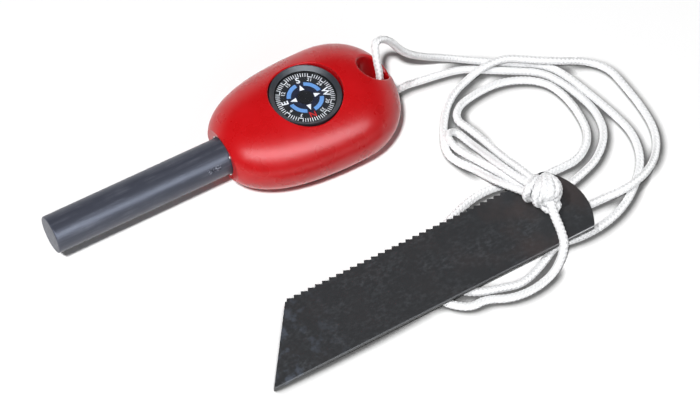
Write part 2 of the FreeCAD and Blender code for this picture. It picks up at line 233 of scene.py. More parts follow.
# %% [markdown]
# ## The table and its narrow shadow
# The object lies on a white table, which is a little paler to the camera than to the object, so that it
# looks white while the object is lit plainly. In the picture everything, high or low, has one even, narrow
# shadow at its lower right. A lamp throws hardly any beside a thin cord, so the table has its own, from
# ambient occlusion: each point looks towards the upper left, and is grey where something close blocks it.

# %% Table
TABLE_TO_OBJECT, TABLE_IN_MIRRORS, TABLE_TO_CAMERA = 0.86, 0.94, 0.93
SHADOW_REACH, SHADOW_DEPTH = 3.0 * MM, 0.88
FREE_SKY_AT_BORDER, FREE_SKY_AT_DEEPEST = 0.91, 0.60

table_white, tree, shader = new_material("table white", Roughness=1.0, Specular_IOR_Level=0.0)
camera_ray = light_path(tree, "Camera")
for_mirrors = product(tree, seen_directly(tree), TABLE_IN_MIRRORS - TABLE_TO_OBJECT)
for_camera = product(tree, camera_ray, TABLE_TO_CAMERA - TABLE_IN_MIRRORS)
paleness = sums(tree, "ADD", sums(tree, "ADD", TABLE_TO_OBJECT, for_mirrors), for_camera)
looks_to = (back + upper_left).normalized()
lean = add(tree, "ShaderNodeCombineXYZ", X=looks_to.x, Y=looks_to.y, Z=looks_to.z).outputs[0]
free_sky = add(tree, "ShaderNodeAmbientOcclusion", {"samples": 16}, Distance=SHADOW_REACH, Normal=lean)
shadow = ranged(tree, free_sky.outputs["AO"], FREE_SKY_AT_BORDER, FREE_SKY_AT_DEEPEST, 0.0, SHADOW_DEPTH)
unshaded = sums(tree, "SUBTRACT", 1.0, product(tree, shadow, camera_ray))
feed(tree, product(tree, paleness, unshaded), shader.inputs["Base Color"])

bpy.ops.mesh.primitive_plane_add(size=6, location=(0, 0, 0))
table = bpy.context.object
table.name = "table"
table.data.materials.append(table_white)
print("table", round(table.dimensions.x), "m wide")

# %% [markdown]
# ## The lamps
# The main lamp is small and close to the camera, which keeps the shadows of the handle and the rod narrow.
# A second lamp at the upper left brings out the cord and the edges, but it would throw wide shadows. Light
# linking keeps it off the table, and gives the table more light from the main lamp's place instead. A long
# strip light in front shows only in reflections, and makes the soft band along the handle and the rod. A
# broad, faint fill beside it lights the flank below that band.

# %% A lamp aimed at the object
LAMPS_AIM_AT = Vector((0.005, -0.02, 0.01))


def lamp(name, towards, distance, size, level, tilt=0.0):
    """A rectangular lamp, as strong as a share of full white on the table."""
    data = bpy.data.lights.new(name, "AREA")
    data.shape = "RECTANGLE"
    data.size, data.size_y = size
    data.energy = math.pi ** 2 * level * distance ** 2 / towards.z
    light = linked(name, data)
    light.location = LAMPS_AIM_AT + towards * distance
    turned = towards.to_track_quat("Z", "Y") @ Quaternion((0, 0, 1), math.radians(tilt))
    light.rotation_euler = turned.to_euler()
    light.visible_glossy = False
    light.visible_transmission = False  # its light comes through the window by the shadow rays
    print("%s: %.1f W" % (name, data.energy))
    return light


def beside_camera(angle):
    """Direction that many degrees from the camera, towards the picture's upper left."""
    return (back * math.cos(math.radians(angle)) + upper_left * math.sin(math.radians(angle))).normalized()


def light_table(light, state):
    """Lets a lamp light only the table, or everything but the table."""
    receivers = bpy.data.collections.new("lit by " + light.name)
    receivers.objects.link(table)
    light.light_linking.receiver_collection = receivers
    receivers.collection_objects[0].light_linking.link_state = state


# %% Five lamps
NEAR_CAMERA = beside_camera(8)
SMALL, SMALL_DISTANCE = (0.12, 0.12), 1.8
FRONT_DISTANCE = 0.9

lamp("main lamp by the camera", NEAR_CAMERA, SMALL_DISTANCE, SMALL, 0.58)
light_table(lamp("its share for the table", NEAR_CAMERA, SMALL_DISTANCE, SMALL, 0.46), "INCLUDE")
light_table(lamp("lamp at the upper left", beside_camera(32), SMALL_DISTANCE, SMALL, 0.42), "EXCLUDE")
lamp("fill in front", direction(2, 36), FRONT_DISTANCE, (1.4, 0.5), 0.08)
strip_light = lamp("strip light in front", direction(-20.5, 46.6), FRONT_DISTANCE, (1.70, 0.34), 1.25,
                   tilt=-10)
strip_light.data.color = (0.92, 0.98, 1.04)
strip_light.visible_glossy = True
strip_light.visible_diffuse = False

# %% [markdown]
# ## Grain and marks
# Two effects come back on many of the pieces. Moulded plastic has a fine satin grain, and worn metal has
# faint streaks and blotches from handling. Each is a shader node group, built once, with the colours and
# sizes as inputs, so that every finish can use it with its own values.

# %% Helpers for groups and finishes
GROUP_OUTPUTS = [("Colour", "Color"), ("Roughness", "Float"), ("Normal", "Vector")]


def new_group(name, sockets):
    """A shader node group with named inputs, its input node's outputs and its output node's inputs."""
    group = bpy.data.node_groups.new(name, "ShaderNodeTree")
    for label, kind, value in sockets:
        socket = group.interface.new_socket(label, in_out="INPUT", socket_type="NodeSocket" + kind)
        socket.default_value = value
    for label, kind in GROUP_OUTPUTS:
        group.interface.new_socket(label, in_out="OUTPUT", socket_type="NodeSocket" + kind)
    return group, group.nodes.new("NodeGroupInput").outputs, group.nodes.new("NodeGroupOutput").inputs


def with_group(tree, shader, group, **inputs):
    """Puts a group into a material, links it to the shader, and returns its colour."""
    node = add(tree, "ShaderNodeGroup", {"node_tree": group}, **inputs)
    for output, socket in (("Colour", "Base Color"), ("Roughness", "Roughness"), ("Normal", "Normal")):
        tree.links.new(node.outputs[output], shader.inputs[socket])
    return node.outputs["Colour"]


def object_place(tree):
    """Where a point lies, in the object's own metres."""
    return add(tree, "ShaderNodeTexCoord").outputs["Object"]


def speckle(tree, place, scale, detail=2.0, roughness=0.5):
    """Noise with about that many spots to the metre."""
    node = add(tree, "ShaderNodeTexNoise", Vector=place, Scale=scale, Detail=detail, Roughness=roughness)
    return node.outputs[0]


def dress(material, *names):
    """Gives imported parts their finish."""
    for name in names:
        for slot in nodes[name].material_slots:
            slot.material = material
    print(material.name, "on", ", ".join(names))


# %% Satin grain
grain, ins, outs = new_group("Satin grain", [
    ("Colour", "Color", (0.5, 0.5, 0.5, 1)), ("Paler Colour", "Color", (0.6, 0.6, 0.6, 1)),
    ("Grain Size", "Float", 0.35), ("Grain Height", "Float", 0.2), ("Roughness", "Float", 0.4),
])
place = object_place(grain)
fine = speckle(grain, place, sums(grain, "DIVIDE", 1.0 / MM, ins["Grain Size"]))
broad = speckle(grain, place, 180.0, 3.0)
tone = mixed(grain, ranged(grain, broad, 0.35, 0.75), ins["Colour"], ins["Paler Colour"])
dullness = sums(grain, "ADD", ins["Roughness"], ranged(grain, broad, 0.3, 0.7, -0.02, 0.02))
bump = add(grain, "ShaderNodeBump", Strength=ins["Grain Height"], Distance=0.1 * MM, Height=fine)
for value, socket in zip((tone, dullness, bump.outputs[0]), outs):
    feed(grain, value, socket)
print(grain.name, "has", len(grain.nodes), "nodes")

# %% Handling marks
marks, ins, outs = new_group("Handling marks", [
    ("Vector", "Vector", (0, 0, 0)), ("Colour", "Color", (0.1, 0.1, 0.1, 1)),
    ("Mark Colour", "Color", (0.2, 0.2, 0.2, 1)), ("Streak Scale", "Vector", (60, 1200, 1200)),
    ("Amount", "Float", 0.5), ("Roughness", "Float", 0.5),
])
streaks = speckle(marks, vector_math(marks, "MULTIPLY", ins["Vector"], ins["Streak Scale"]), 1.0, 4.0, 0.65)
blotches = speckle(marks, ins["Vector"], 160.0, 5.0, 0.6)
amount = product(marks, ranged(marks, streaks, 0.45, 0.72), ranged(marks, blotches, 0.38, 0.66),
                 ins["Amount"])
tone = mixed(marks, amount, ins["Colour"], ins["Mark Colour"])
dullness = sums(marks, "ADD", ins["Roughness"], ranged(marks, streaks, 0.3, 0.7, -0.07, 0.07))
bump = add(marks, "ShaderNodeBump", Strength=0.12, Distance=0.05 * MM, Height=streaks)
for value, socket in zip((tone, dullness, bump.outputs[0]), outs):
    feed(marks, value, socket)
print(marks.name, "has", len(marks.nodes), "nodes")

# %% [markdown]
# ## The red handle
# The handle is moulded in a deep red plastic with a satin surface: broad soft highlights, and a paler edge
# where it curves away. A Principled shader with a middling roughness and the grain group gives both,
# because the pale edge is its Fresnel reflection of the white table. The dark line in the mouth round the
# rod is shade in the narrow gap. It could be a ring of its own, but a painted shade, a darker colour close
# to the rod's axis, is enough.

# %% Red plastic
ROD_AXIS_Z = 11.5 * MM
MOUTH_RADII = (5.50 * MM, 5.34 * MM)
MOUTH_X = (-22.0 * MM, -23.0 * MM)


def distance_from_axis(tree, place, centre, across):
    """How far a point is from a line through a centre, where across is 0 in the line's own direction."""
    from_centre = vector_math(tree, "SUBTRACT", place, centre)
    return vector_math(tree, "LENGTH", vector_math(tree, "MULTIPLY", from_centre, across))


red_plastic, tree, shader = new_material("satin red plastic")
coat = with_group(tree, shader, grain, Colour=srgb(188, 9, 15), Paler_Colour=srgb(195, 15, 22),
                  Grain_Size=0.35, Grain_Height=0.14, Roughness=0.28)
place = object_place(tree)
x = add(tree, "ShaderNodeSeparateXYZ", Vector=place).outputs["X"]
from_rod = distance_from_axis(tree, place, (0, 0, ROD_AXIS_Z), (0, 1, 1))
# painted shade: the dark gap round the rod in the mouth, as a darker red close to the rod's axis
painted_mouth_shade = product(tree, ranged(tree, from_rod, *MOUTH_RADII), ranged(tree, x, *MOUTH_X))
feed(tree, mixed(tree, painted_mouth_shade, coat, srgb(58, 12, 16)), shader.inputs["Base Color"])
dress(red_plastic, "handle_upper_shell", "handle_lower_shell")

# %% [markdown]
# ## The rod
# The rod is a pressed grey alloy with faint lengthwise streaks, and a few nicks near the handle, where the
# striker starts. The marks group gives the streaks. The nicks could be carved, but they are finer than the
# mesh, so they are fine noise that shows only between set limits in X and Z and on the near side.

# %% Grey alloy
NICKS_X, NICKS_Z = (-31.2 * MM, -26.6 * MM), (13.2 * MM, 14.8 * MM)

grey_alloy, tree, shader = new_material("grey sparking alloy", Metallic=0.35)
place = object_place(tree)
skin = with_group(tree, shader, marks, Vector=place, Colour=srgb(73, 76, 88),
                  Mark_Colour=srgb(116, 119, 131), Streak_Scale=(70.0, 900.0, 900.0), Amount=0.6,
                  Roughness=0.40)
x, y, z = add(tree, "ShaderNodeSeparateXYZ", Vector=place).outputs
scraped = product(tree, between(tree, x, *NICKS_X, 1.0 * MM), between(tree, z, *NICKS_Z, 0.4 * MM),
                  ranged(tree, y, 0.0, -1.0 * MM))
nick_noise = speckle(tree, place, 1700.0)
dark_nick = product(tree, scraped, ranged(tree, nick_noise, 0.53, 0.60))
pale_nick = product(tree, scraped, ranged(tree, nick_noise, 0.44, 0.38))
tone = mixed(tree, dark_nick, skin, srgb(38, 41, 52))
feed(tree, mixed(tree, pale_nick, tone, srgb(158, 161, 176)), shader.inputs["Base Color"])
dress(grey_alloy, "ferro_rod")

# %% [markdown]
# ## Glue
# Glue fills the gap round the rod and holds the compass. Set glue is glossy and unevenly milky, so a noise
# mixes two close colours. In the narrow gap its colours are painted shade: dark, with the red of the
# handle.

# %% Set glue
def resin(name, dark, light):
    """Set glue, unevenly milky and glossy."""
    material, tree, shader = new_material(name, Roughness=0.18)
    milky = speckle(tree, object_place(tree), 1500.0)
    feed(tree, mixed(tree, milky, dark, light), shader.inputs["Base Color"])
    return material


# the glue in the gap is painted dark red, as painted shade
dress(resin("glue in painted gap shade", srgb(38, 10, 13), srgb(78, 24, 27)), "rod_adhesive")
white_glue = resin("white glue", srgb(214, 208, 204), srgb(242, 238, 236))
dress(white_glue, "compass_pad")

# %% [markdown]
# ## The striker
# The striker is blackened steel, rubbed paler in small scratches, with a brown bloom towards its butt,
# scuffs at its tip and a ground line along its lower edge, with a painted highlight that makes it bright
# near the butt. All of these are found from a point's place on the blade, so a Mapping node turns the
# coordinates to lie along it: X runs from the tip, Y up from the lower edge and Z out of the face.

# %% Black steel
BLADE_CORNER = Vector((-43.7, -60.3, 0.02)) * MM
BLADE_YAW, BLADE_RISE = math.radians(-1.0), math.radians(2.6)
GROUND_HIGHLIGHT_Y, GROUND_HIGHLIGHT_Z = (0.20 * MM, 0.12 * MM), (0.85 * MM, 0.95 * MM)
HIGHLIGHT_X, BLOOM_X, SCUFF_X = (80 * MM, 90 * MM), (50 * MM, 80 * MM), (24 * MM, 8 * MM)

black_steel, tree, shader = new_material("blackened steel", Metallic=0.0)
on_blade = add(tree, "ShaderNodeMapping", {"vector_type": "TEXTURE"}, Vector=object_place(tree),
               Location=tuple(BLADE_CORNER), Rotation=(0.0, -BLADE_RISE, BLADE_YAW)).outputs[0]
skin = with_group(tree, shader, marks, Vector=on_blade, Colour=srgb(46, 47, 49),
                  Mark_Colour=srgb(80, 83, 87), Streak_Scale=(700.0, 1100.0, 700.0), Amount=0.6,
                  Roughness=0.5)
x, y, z = add(tree, "ShaderNodeSeparateXYZ", Vector=on_blade).outputs
bloom = product(tree, ranged(tree, speckle(tree, on_blade, 110.0, 5.0), 0.45, 0.65),
                ranged(tree, x, *BLOOM_X, 0.1, 0.6))
scuffed = product(tree, ranged(tree, speckle(tree, on_blade, 420.0, 4.0), 0.50, 0.66),
                  ranged(tree, x, *SCUFF_X, 0.0, 0.5))
# ground line along the lower edge: its faint grey is real, and the rise to bright near the butt is painted
# highlight
ground_and_highlight = product(tree, ranged(tree, y, *GROUND_HIGHLIGHT_Y), ranged(tree, z, *GROUND_HIGHLIGHT_Z),
                 ranged(tree, x, *HIGHLIGHT_X, 0.10, 0.85))
tone = mixed(tree, bloom, skin, srgb(64, 56, 55))
tone = mixed(tree, scuffed, tone, srgb(88, 95, 108))
feed(tree, mixed(tree, ground_and_highlight, tone, srgb(198, 200, 203)), shader.inputs["Base Color"])
dress(black_steel, "striker")

# %% [markdown]
# ## The compass
# A bought-in button compass sits in the handle: a black cup, a clear window, and a dark ring round it
# whose top slopes down to the window. Inside, a black card turns on a needle under a small cap. The dark
# parts share the grain group with a fine grain, and the ring reflects more, for the sheen on its slope.

# %% Plastics of the compass
def plastic(name, colour, paler, roughness, grain_size=0.2, grain_height=0.12, specular=0.5):
    """A moulded plastic with the grain group."""
    material, tree, shader = new_material(name, Specular_IOR_Level=specular)
    with_group(tree, shader, grain, Colour=colour, Paler_Colour=paler, Grain_Size=grain_size,
               Grain_Height=grain_height, Roughness=roughness)
    return material


dress(plastic("dark grey ring", srgb(44, 47, 53), srgb(54, 58, 66), 0.34, specular=1.0), "compass_bezel")
dress(plastic("black cup", srgb(28, 29, 31), srgb(36, 37, 39), 0.5), "compass_cup")
dress(plastic("black rubber", srgb(24, 24, 25), srgb(32, 32, 33), 0.75, 0.3, 0.3), "compass_seal")
dress(plastic("gloss black cap", srgb(19, 20, 23), srgb(25, 26, 30), 0.3, 0.3, 0.01), "card_hub")

# %% The card, navy blue inside its ring
NAVY_RADII = (5.15 * MM, 5.0 * MM)

card_black, tree, shader = new_material("printed card")
face = with_group(tree, shader, grain, Colour=srgb(15, 17, 21), Paler_Colour=srgb(22, 24, 29),
                  Grain_Size=0.12, Grain_Height=0.1, Roughness=0.6)
from_needle = distance_from_axis(tree, object_place(tree), (0, 0, 0), (1, 1, 0))
navy = ranged(tree, from_needle, *NAVY_RADII)
feed(tree, mixed(tree, navy, face, srgb(13, 20, 44)), shader.inputs["Base Color"])
dress(card_black, "compass_card")

# %% [markdown]
# ## Window, needle, magnet and jewel
# The window is clear plastic. Light would reach the card through it only by chance, as bright specks, so
# to shadow rays it is plainly transparent. The needle and the magnet are bare steel, and the jewel that
# sits on the needle is a red synthetic ruby.

# %% Clear window
window, tree, shader = new_material("clear window", Roughness=0.02, IOR=1.47, Transmission_Weight=1.0)
haze = speckle(tree, object_place(tree), 220.0, 3.0)
feed(tree, mixed(tree, haze, (0.93, 0.95, 0.97, 1), (0.98, 0.99, 1.0, 1)), shader.inputs["Base Color"])
clear = add(tree, "ShaderNodeBsdfTransparent")
lets_light_in = add(tree, "ShaderNodeMixShader")
for output, socket in zip((light_path(tree, "Shadow"), shader.outputs[0], clear.outputs[0]),
                          lets_light_in.inputs):
    tree.links.new(output, socket)
tree.links.new(lets_light_in.outputs[0], tree.nodes["Material Output"].inputs["Surface"])
dress(window, "compass_lens")

# %% Steel and ruby
steel, tree, shader = new_material("bright steel", Metallic=1.0)
with_group(tree, shader, marks, Vector=object_place(tree), Colour=srgb(150, 152, 156),
           Mark_Colour=srgb(190, 192, 196), Roughness=0.3)
dress(steel, "compass_pivot", "card_magnet")
ruby, tree, shader = new_material("synthetic ruby", Roughness=0.08)
cloud = speckle(tree, object_place(tree), 2500.0)
feed(tree, mixed(tree, cloud, srgb(150, 10, 40), srgb(190, 30, 60)), shader.inputs["Base Color"])
dress(ruby, "card_jewel")

# %% [markdown]
# ## The cord's routes
# The lanyard is one braided nylon cord of 2 mm, about 0.8 m long, and the knot divides it into four
# stretches. Each lies mostly on the table, so its centre is 1 mm up, and where it crosses itself it
# rises over the cord below in a low hump. A NURBS curve through a few control points per bend gives the
# even curves of a limp cord, where a chain of straight runs would look like bent wire.

# %% Control points in millimetres
LONG_STRAND = [
    (21.8, -2.2, 11.5), (21.8, -2.2, 16.8), (22.0, 1.2, 22.1), (23.6, 5.0, 24.4), (28.8, 5.6, 20.6),
    (32.6, 4.4, 14.0), (38.4, 4.3, 8.4), (46.4, 3.9, 3.2), (52.8, 1.3, 1.05), (57.7, -2.2, 1.05),
    (63.4, -5.9, 1.05), (69.3, -9.4, 1.05), (73.2, -14.4, 1.05), (75.7, -24.1, 1.05),
    (77.7, -33.2, 1.05), (78.6, -40.4, 1.05), (76.4, -47.7, 1.05), (71.4, -53.3, 1.05),
    (64.2, -58.3, 1.05), (56.1, -60.9, 1.05), (47.3, -61.2, 1.05), (40.8, -59.7, 1.05),
    (34.4, -63.0, 1.05), (26.6, -65.5, 1.05), (21.0, -63.7, 1.05), (15.6, -62.2, 1.05),
    (10.8, -58.8, 1.05), (10.4, -53.0, 1.05), (15.1, -49.0, 1.05), (23.6, -48.8, 1.05),
    (34.5, -50.2, 1.05), (46.0, -53.8, 1.05), (55.0, -54.0, 1.05), (60.1, -54.2, 1.05),
    (64.7, -55.7, 3.4), (72.7, -54.4, 3.4), (80.3, -49.5, 1.05), (84.4, -43.3, 1.05),
    (85.7, -35.0, 1.05), (85.7, -27.0, 1.05), (85.4, -19.9, 1.05), (81.3, -14.7, 1.05),
    (73.7, -12.6, 3.3), (67.2, -8.6, 3.3), (60.9, -4.3, 3.4), (53.5, -4.2, 3.4), (49.1, -4.4, 1.05),
    (43.6, -6.3, 1.05), (38.9, -9.7, 1.05), (34.1, -15.7, 1.05), (31.1, -21.9, 1.05),
    (32.4, -26.1, 1.15), (34.4, -30.9, 2.7), (35.3, -36.6, 5.3), (36.3, -41.5, 8.0),
    (40.1, -47.0, 8.4),
]
SHORT_STRAND = [
    (21.8, -2.2, 11.5), (21.8, -2.2, 5.6), (25.6, 0.4, 1.05), (32.0, 2.4, 1.05), (37.7, 1.5, 1.05),
    (43.7, 0.7, 1.05), (49.9, -0.6, 1.05), (55.7, -4.2, 1.05), (62.0, -8.1, 1.05),
    (67.8, -11.7, 1.05), (70.7, -16.1, 1.05), (73.0, -23.0, 1.05), (74.0, -30.0, 1.05),
    (72.2, -37.2, 1.05), (65.7, -42.9, 1.05), (58.7, -45.1, 1.05), (50.2, -47.0, 1.05),
    (44.2, -49.2, 1.6), (44.0, -49.4, 7.6),
]
LOOP_STRAND = [
    (43.7, -50.0, 9.0), (42.3, -53.1, 9.5), (41.5, -56.2, 9.0), (40.9, -60.0, 8.2), (39.8, -64.0, 6.9),
    (36.2, -66.5, 1.05), (28.7, -68.3, 1.05), (21.5, -67.6, 1.05), (15.9, -64.5, 1.05),
    (11.0, -64.8, 1.05), (5.6, -60.0, 1.05), (4.6, -53.2, 1.05), (7.6, -46.8, 1.05),
    (14.6, -42.2, 1.05), (24.9, -38.4, 1.05), (32.1, -36.9, 1.05), (38.8, -37.7, 1.05),
    (44.5, -40.6, 1.05), (54.0, -40.7, 1.05), (61.3, -40.8, 1.05), (67.9, -36.0, 1.05),
    (69.7, -27.6, 1.05), (69.3, -20.1, 1.05), (67.0, -14.9, 1.05), (61.4, -11.0, 1.05),
    (54.8, -9.1, 1.05), (48.1, -9.4, 1.05), (42.4, -10.5, 1.05), (39.2, -14.0, 1.05),
    (41.1, -18.6, 1.05), (42.0, -24.9, 2.0), (42.3, -32.6, 4.6), (42.7, -39.4, 7.7),
    (43.5, -45.3, 8.7),
]
BIGHT_STRAND = [
    (41.4, -46.3, 9.75), (39.0, -40.0, 9.3), (38.3, -33.4, 7.1), (38.1, -27.7, 4.6),
    (38.2, -22.5, 1.8), (37.3, -17.0, 1.05), (33.0, -18.2, 3.9), (33.1, -22.9, 3.5),
    (34.8, -27.0, 3.7), (36.4, -31.2, 4.6), (37.8, -35.6, 5.4), (38.8, -39.4, 6.6),
    (42.0, -46.0, 7.2),
]


# %% A smooth line through control points
def mesh_of(curve):
    """The mesh of a curve or a text, which is removed."""
    holder = bpy.data.objects.new(curve.name, curve)
    mesh = bpy.data.meshes.new_from_object(holder)
    bpy.data.objects.remove(holder)
    bpy.data.curves.remove(curve)
    return mesh


def smooth_line(name, points_mm, cyclic=False):
    """The mesh of a NURBS curve with those control points, and the points that it passes through."""
    curve = bpy.data.curves.new(name, "CURVE")
    curve.dimensions = "3D"
    curve.resolution_u = 10
    spline = curve.splines.new("NURBS")
    spline.points.add(len(points_mm) - 1)
    for point, place in zip(spline.points, points_mm):
        point.co = (*(Vector(place) * MM), 1)
    spline.order_u = 3
    spline.use_endpoint_u = not cyclic
    spline.use_cyclic_u = cyclic
    mesh = mesh_of(curve)
    return mesh, [vertex.co.copy() for vertex in mesh.vertices]


def line_length(points):
    """Length of a line through points."""
    return sum((b - a).length for a, b in zip(points, points[1:]))


# %% [markdown]
# ## Braiding
# The cord is a tube of eight flat yarns, four winding each way, and each passes over one and under the
# next. That repeats along the whole line, so a Geometry Nodes tree makes it. Its first part cuts the line
# into even steps and keeps three things at each point: which way is to the side, which way is ahead, and
# how far along the point lies.

# %% An empty tree, and how one ends
def new_tree(name, sockets):
    """An empty Geometry Nodes tree with the named inputs, and its group input and output."""
    tree = bpy.data.node_groups.new(name, "GeometryNodeTree")
    tree.interface.new_socket("Geometry", in_out="INPUT", socket_type="NodeSocketGeometry")
    for label, kind, value in sockets:
        socket = tree.interface.new_socket(label, in_out="INPUT", socket_type="NodeSocket" + kind)
        if value is not None:
            socket.default_value = value
    tree.interface.new_socket("Geometry", in_out="OUTPUT", socket_type="NodeSocketGeometry")
    return tree, tree.nodes.new("NodeGroupInput").outputs, tree.nodes.new("NodeGroupOutput")


def finish_tree(tree, geometry, material, output):
    """Ends a tree in real geometry with its material."""
    real = add(tree, "GeometryNodeRealizeInstances", Geometry=geometry)
    coated = add(tree, "GeometryNodeSetMaterial", Geometry=real.outputs[0], Material=material)
    tree.links.new(coated.outputs[0], output.inputs[0])
    print(tree.name, "has", len(tree.nodes), "nodes")


# %% The line, cut into even steps
braid, g, group_out = new_tree("Braided cord", [
    ("Yarns Each Way", "Int", 4), ("Pitch", "Float", 4.6 * MM), ("Cord Radius", "Float", 1.04 * MM),
    ("Yarn Width", "Float", 1.16 * MM), ("Yarn Thickness", "Float", 0.28 * MM),
    ("Steps Per Turn", "Float", 12.0), ("Spread", "Float", 1.0), ("Start Spread", "Float", 1.0),
    ("Start Run", "Float", 30.0 * MM), ("Height Share", "Float", 1.0), ("Material", "Material", None),
])
line = add(braid, "GeometryNodeMeshToCurve", Mesh=g["Geometry"])
step = sums(braid, "DIVIDE", g["Pitch"], g["Steps Per Turn"])
even = add(braid, "GeometryNodeResampleCurve", {"mode": "LENGTH"}, Curve=line.outputs[0], Length=step)
framed = add(braid, "GeometryNodeSetCurveNormal", {"mode": "MINIMUM_TWIST"}, Curve=even.outputs[0])
known = add(braid, "GeometryNodeCaptureAttribute", {"domain": "POINT"}, Geometry=framed.outputs[0])
for item, kind in (("Side", "VECTOR"), ("Ahead", "VECTOR"), ("Along", "FLOAT")):
    known.capture_items.new(kind, item)
braid.links.new(add(braid, "GeometryNodeInputNormal").outputs["Normal"], known.inputs["Side"])
braid.links.new(add(braid, "GeometryNodeInputTangent").outputs[0], known.inputs["Ahead"])
braid.links.new(add(braid, "GeometryNodeSplineParameter").outputs["Length"], known.inputs["Along"])
side, ahead, along = known.outputs["Side"], known.outputs["Ahead"], known.outputs["Along"]

# %% [markdown]
# ## The yarns
# The line is copied once for each yarn, and each copy's points move out along a turning radius. A yarn's
# height rises and falls with the crossings, which come at the same places for all yarns of one hand. Lying
# on the table, the soft tube is pressed a little wider than high, and more so where it leaves the knot.

# %% One copy of the line for each yarn
yarn_count = product(braid, g["Yarns Each Way"], 2.0)
copies = add(braid, "GeometryNodeDuplicateElements", {"domain": "SPLINE"}, Geometry=known.outputs[0],
             Amount=yarn_count)
index = copies.outputs["Duplicate Index"]
place_in_hand = sums(braid, "MODULO", index, g["Yarns Each Way"])
other_hand = sums(braid, "GREATER_THAN", index, sums(braid, "SUBTRACT", g["Yarns Each Way"], 0.5))
hand = sums(braid, "SUBTRACT", 1.0, product(braid, other_hand, 2.0))

# %% Turning, lifting and pressing
turns = product(braid, sums(braid, "DIVIDE", along, g["Pitch"]), math.tau)
phase = product(braid, sums(braid, "DIVIDE", place_in_hand, g["Yarns Each Way"]), math.tau)
angle = sums(braid, "ADD", product(braid, hand, turns), phase)
across = vector_math(braid, "CROSS_PRODUCT", ahead, side)
outward = vector_math(
    braid, "ADD",
    vector_math(braid, "SCALE", side, sums(braid, "COSINE", angle)),
    vector_math(braid, "SCALE", across, sums(braid, "SINE", angle)))
wave = sums(braid, "COSINE", product(braid, turns, g["Yarns Each Way"]))
lift = product(braid, wave, hand, product(braid, g["Yarn Thickness"], 0.5))
middle_radius = sums(braid, "SUBTRACT", g["Cord Radius"], g["Yarn Thickness"])
reach = sums(braid, "ADD", middle_radius, lift)
spread = ranged(braid, along, 0.0, g["Start Run"], g["Start Spread"], g["Spread"])
pressed = add(braid, "ShaderNodeCombineXYZ", X=spread, Y=spread, Z=g["Height Share"]).outputs[0]
moved = add(braid, "GeometryNodeSetPosition", Geometry=copies.outputs[0],
            Offset=vector_math(braid, "MULTIPLY", vector_math(braid, "SCALE", outward, reach), pressed))
facing = add(braid, "GeometryNodeSetCurveNormal", {"mode": "FREE"}, Curve=moved.outputs[0],
             Normal=outward)

# %% [markdown]
# ## Skin and core
# Each yarn is a flat section swept along its line. Its map runs round the section and along the cord, in
# millimetres, for the filaments of the finish. A plain core fills the tube, as it does in a real cord, so
# that no light shows between the yarns.

# %% Swept yarns and their map
CORE_SHARE = 0.62
section = add(braid, "GeometryNodeCurvePrimitiveCircle", {"mode": "RADIUS"}, Resolution=6, Radius=0.5)
flat = add(braid, "ShaderNodeCombineXYZ", X=g["Yarn Thickness"], Y=g["Yarn Width"], Z=1.0)
flattened = add(braid, "GeometryNodeTransform", Geometry=section.outputs[0], Scale=flat.outputs[0])
rounded = add(braid, "GeometryNodeCaptureAttribute", {"domain": "POINT"}, Geometry=flattened.outputs[0])
rounded.capture_items.new("FLOAT", "Around")
braid.links.new(add(braid, "GeometryNodeSplineParameter").outputs["Factor"], rounded.inputs["Around"])
yarns = add(braid, "GeometryNodeCurveToMesh", Curve=facing.outputs[0], Fill_Caps=True)
braid.links.new(rounded.outputs[0], yarns.inputs["Profile Curve"])
unrolled = add(braid, "ShaderNodeCombineXYZ", X=rounded.outputs["Around"],
               Y=product(braid, along, 1 / MM))
mapped = add(braid, "GeometryNodeStoreNamedAttribute", {"data_type": "FLOAT2", "domain": "CORNER"},
             Geometry=yarns.outputs[0], Name="UVMap", Value=unrolled.outputs[0])

# %% The core, and the end of the tree
core_section = add(braid, "GeometryNodeCurvePrimitiveCircle", {"mode": "RADIUS"}, Resolution=6,
                   Radius=product(braid, g["Cord Radius"], CORE_SHARE))
core = add(braid, "GeometryNodeCurveToMesh", Curve=even.outputs[0], Fill_Caps=True)
braid.links.new(core_section.outputs[0], core.inputs["Profile Curve"])
whole = add(braid, "GeometryNodeJoinGeometry")
for layer in (mapped, core):
    braid.links.new(layer.outputs[0], whole.inputs[0])
smooth = add(braid, "GeometryNodeSetShadeSmooth", Geometry=whole.outputs[0])
finish_tree(braid, smooth.outputs[0], g["Material"], group_out)


# %% [markdown]
# ## From a tree to a plain mesh
# A tree works as a modifier on an object. Its inputs are known by identifiers, which are looked up from
# their names here, and what it makes is taken over as a plain mesh, because the object that is handed on
# must hold real geometry.

# %% Run a tree on a mesh
def grow(name, mesh, tree, **inputs):
    """A plain mesh object from a tree on a mesh, with the tree's inputs set by name."""
    seed = linked(name, mesh)
    modifier = seed.modifiers.new("grow", "NODES")
    modifier.node_group = tree
    for item in tree.interface.items_tree:
        label = item.name.replace(" ", "_")
        if item.in_out == "INPUT" and label in inputs:
            modifier[item.identifier] = inputs[label]
    made = bpy.data.meshes.new_from_object(seed.evaluated_get(bpy.context.evaluated_depsgraph_get()))
    bpy.data.objects.remove(seed)
    made.name = name
    return linked(name, made)


# %% [markdown]
# ## White nylon
# Braided nylon is a bright, slightly blue white with a soft sheen. Its yarns are bundles of fine filaments
# that run along them. Hairs would be far too many, so the filaments are noise stretched along the yarn's
# own map, for both the colour and the bump. The hollows between the yarns need no paint, because the real
# geometry shades them.

